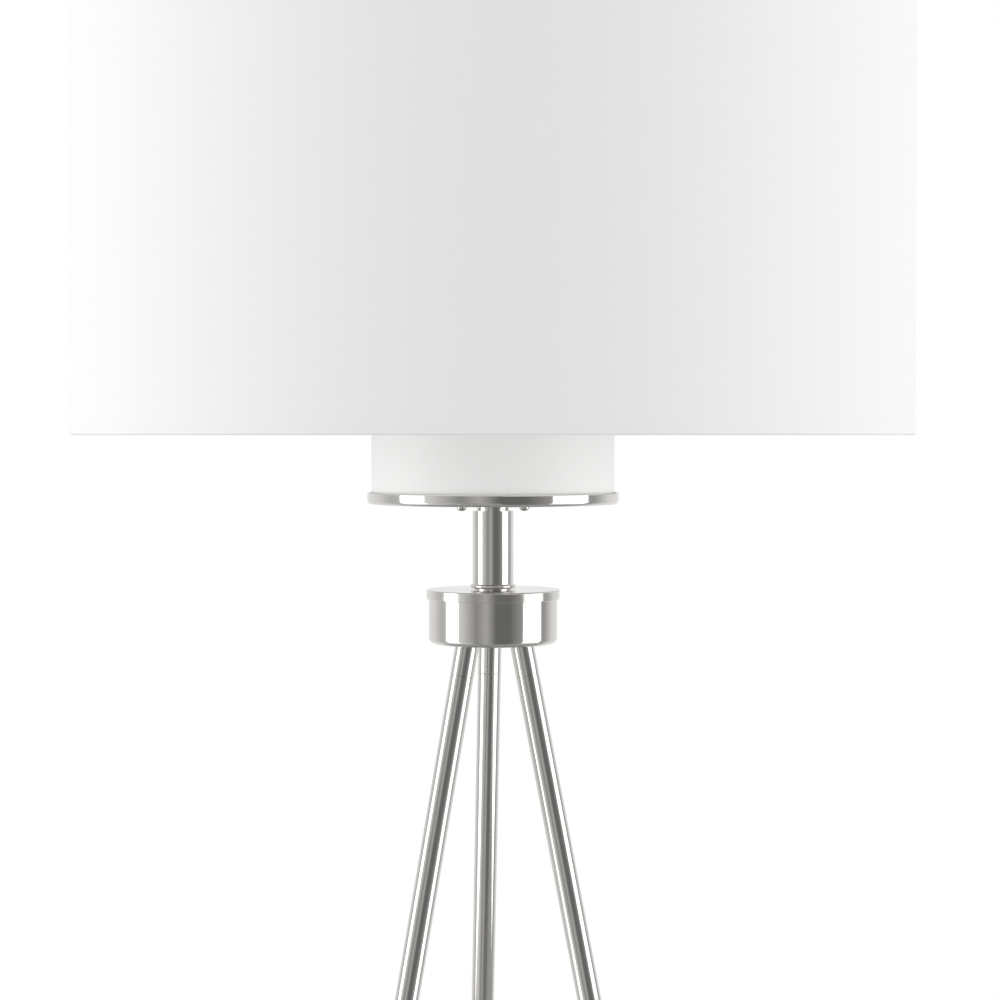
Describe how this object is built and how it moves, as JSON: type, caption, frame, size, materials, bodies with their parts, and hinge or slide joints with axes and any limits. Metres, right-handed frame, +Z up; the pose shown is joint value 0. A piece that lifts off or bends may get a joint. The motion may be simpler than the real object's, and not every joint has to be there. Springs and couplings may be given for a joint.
{
  "type": "tripod floor lamp",
  "caption": "Slender metal tripod floor lamp: white fabric drum shade round a frosted glass cylinder that stands in a shallow polished tray on a short stem over a round hub.",
  "frame": {"origin": "on the floor, on the lamp's vertical axis, midway between the three soles", "axes": "+Z up; +Y toward the back leg (leg 1), so legs stand at 90, 210 and 330 degrees from +X; the front faces -Y"},
  "size_m": [0.4764, 0.499, 1.537],
  "materials": {
    "polished_nickel": "polished nickel plate on steel",
    "zinc_steel": "bright zinc plate",
    "white_wire": "white coated wire",
    "cast_block": "as cast and drilled",
    "socket_brass": "bright drawn brass",
    "contact_metal": "bright",
    "insulating_board": "waxed fibre board",
    "black_phenolic": "moulded",
    "clear_plastic": "translucent",
    "glide_plastic": "moulded",
    "frosted_bulb": "inside frosted",
    "frosted_glass": "satin etched white",
    "shade_lining": "smooth white film",
    "white_linen": "plain weave with slubs"
  },
  "bodies": {
    "stand": {"foot_glide_1": "glide_plastic", "foot_glide_2": "glide_plastic", "foot_glide_3": "glide_plastic", "lower_leg_1": "polished_nickel", "lower_leg_2": "polished_nickel", "lower_leg_3": "polished_nickel", "upper_leg_1": "polished_nickel", "upper_leg_2": "polished_nickel", "upper_leg_3": "polished_nickel", "leg_stub_1": "polished_nickel", "leg_stub_2": "polished_nickel", "leg_stub_3": "polished_nickel", "leg_bushes": "zinc_steel", "leg_studs": "zinc_steel", "cord_bush": "clear_plastic", "hub_cup": "polished_nickel", "leg_block": "cast_block", "hub_lid": "polished_nickel", "centre_nipple": "zinc_steel", "stem_collar": "polished_nickel", "stem_tube": "polished_nickel", "stem_top_plug": "polished_nickel", "tray": "polished_nickel", "harp_saddle": "zinc_steel", "saddle_screws": "zinc_steel", "saddle_cap_nuts": "polished_nickel", "lock_washer": "zinc_steel", "lock_nut": "zinc_steel", "socket_cap": "socket_brass", "socket_shell": "socket_brass", "socket_liner": "insulating_board", "socket_core": "black_phenolic", "terminal_screws": "zinc_steel", "screw_shell": "contact_metal", "centre_contact": "contact_metal", "harp_bow": "zinc_steel", "harp_stud": "zinc_steel"},
    "bulb": {"bulb_tip": "contact_metal", "bulb_insulator": "black_phenolic", "bulb_base": "contact_metal", "bulb_globe": "frosted_bulb"},
    "glass": {"glass_diffuser": "frosted_glass"},
    "harp_sleeve_a": {"harp_sleeve_1": "zinc_steel"},
    "harp_sleeve_b": {"harp_sleeve_2": "zinc_steel"},
    "shade": {"shade_top_ring": "white_wire", "shade_bottom_ring": "white_wire", "spider_hub": "zinc_steel", "spider_arm_1": "zinc_steel", "spider_arm_2": "zinc_steel", "spider_arm_3": "zinc_steel", "shade_liner": "shade_lining", "shade_fabric": "white_linen", "shade_hem_bottom": "white_linen", "shade_hem_top": "white_linen"},
    "finial": {"finial": "polished_nickel"}
  },
  "joints": [
    {"name": "bulb_unscrew", "type": "hinge", "parent": "stand", "child": "bulb", "pos_m": [0, 0, 1.35], "axis": [0, 0, 1], "continuous": true},
    {"name": "glass_lift", "type": "slide", "parent": "stand", "child": "glass", "axis": [0, 0, 1], "range_m": [0, 0.055]},
    {"name": "harp_sleeve_a_lift", "type": "slide", "parent": "stand", "child": "harp_sleeve_a", "axis": [0, 0, 1], "range_m": [0, 0.01]},
    {"name": "harp_sleeve_b_lift", "type": "slide", "parent": "stand", "child": "harp_sleeve_b", "axis": [0, 0, 1], "range_m": [0, 0.01]},
    {"name": "shade_swivel", "type": "hinge", "parent": "stand", "child": "shade", "pos_m": [0, 0, 1.51], "axis": [0, 0, 1], "continuous": true},
    {"name": "finial_turn", "type": "hinge", "parent": "stand", "child": "finial", "pos_m": [0, 0, 1.52], "axis": [0, 0, 1], "continuous": true}
  ]
}
